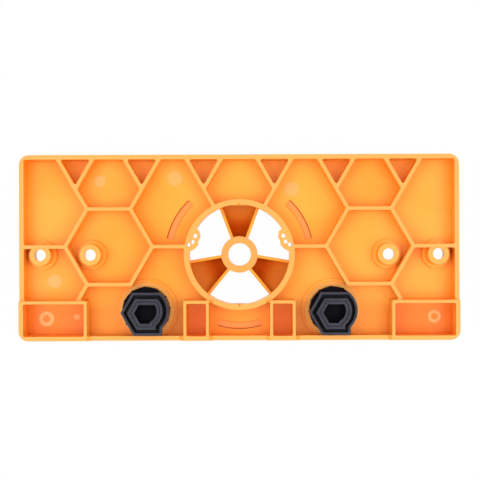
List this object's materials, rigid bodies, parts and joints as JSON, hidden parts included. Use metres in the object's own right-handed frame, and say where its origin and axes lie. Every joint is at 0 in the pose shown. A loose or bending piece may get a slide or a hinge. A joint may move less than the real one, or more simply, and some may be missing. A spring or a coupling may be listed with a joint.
{
  "type": "hinge drilling jig",
  "caption": "Moulded drilling jig for concealed hinges: ribbed plate with a central bit guide, raised fence blocks and turning index cams.",
  "frame": {"origin": "middle of the object on the surface that the guide's end and the two dials stand on", "axes": "+X along the plate, +Y from the fenced edge to the far edge, +Z out of the ribbed working side"},
  "size_m": [0.225, 0.095, 0.0383],
  "materials": {
    "orange_plastic": "satin moulded ABS",
    "black_plastic": "satin moulded nylon",
    "plated_steel": "bright zinc plate"
  },
  "bodies": {
    "plate": {"guide_plate": "orange_plastic"},
    "left_cam": {"index_cam_left": "black_plastic", "setting_dial_left": "black_plastic", "cam_screw_left": "plated_steel"},
    "right_cam": {"index_cam_right": "black_plastic", "setting_dial_right": "black_plastic", "cam_screw_right": "plated_steel"}
  },
  "joints": [
    {"name": "left_cam_turn", "type": "hinge", "parent": "plate", "child": "left_cam", "pos_m": [-0.048, -0.0323, 0], "axis": [0, 0, 1], "continuous": true},
    {"name": "right_cam_turn", "type": "hinge", "parent": "plate", "child": "right_cam", "pos_m": [0.048, -0.0323, 0], "axis": [0, 0, 1], "continuous": true}
  ]
}
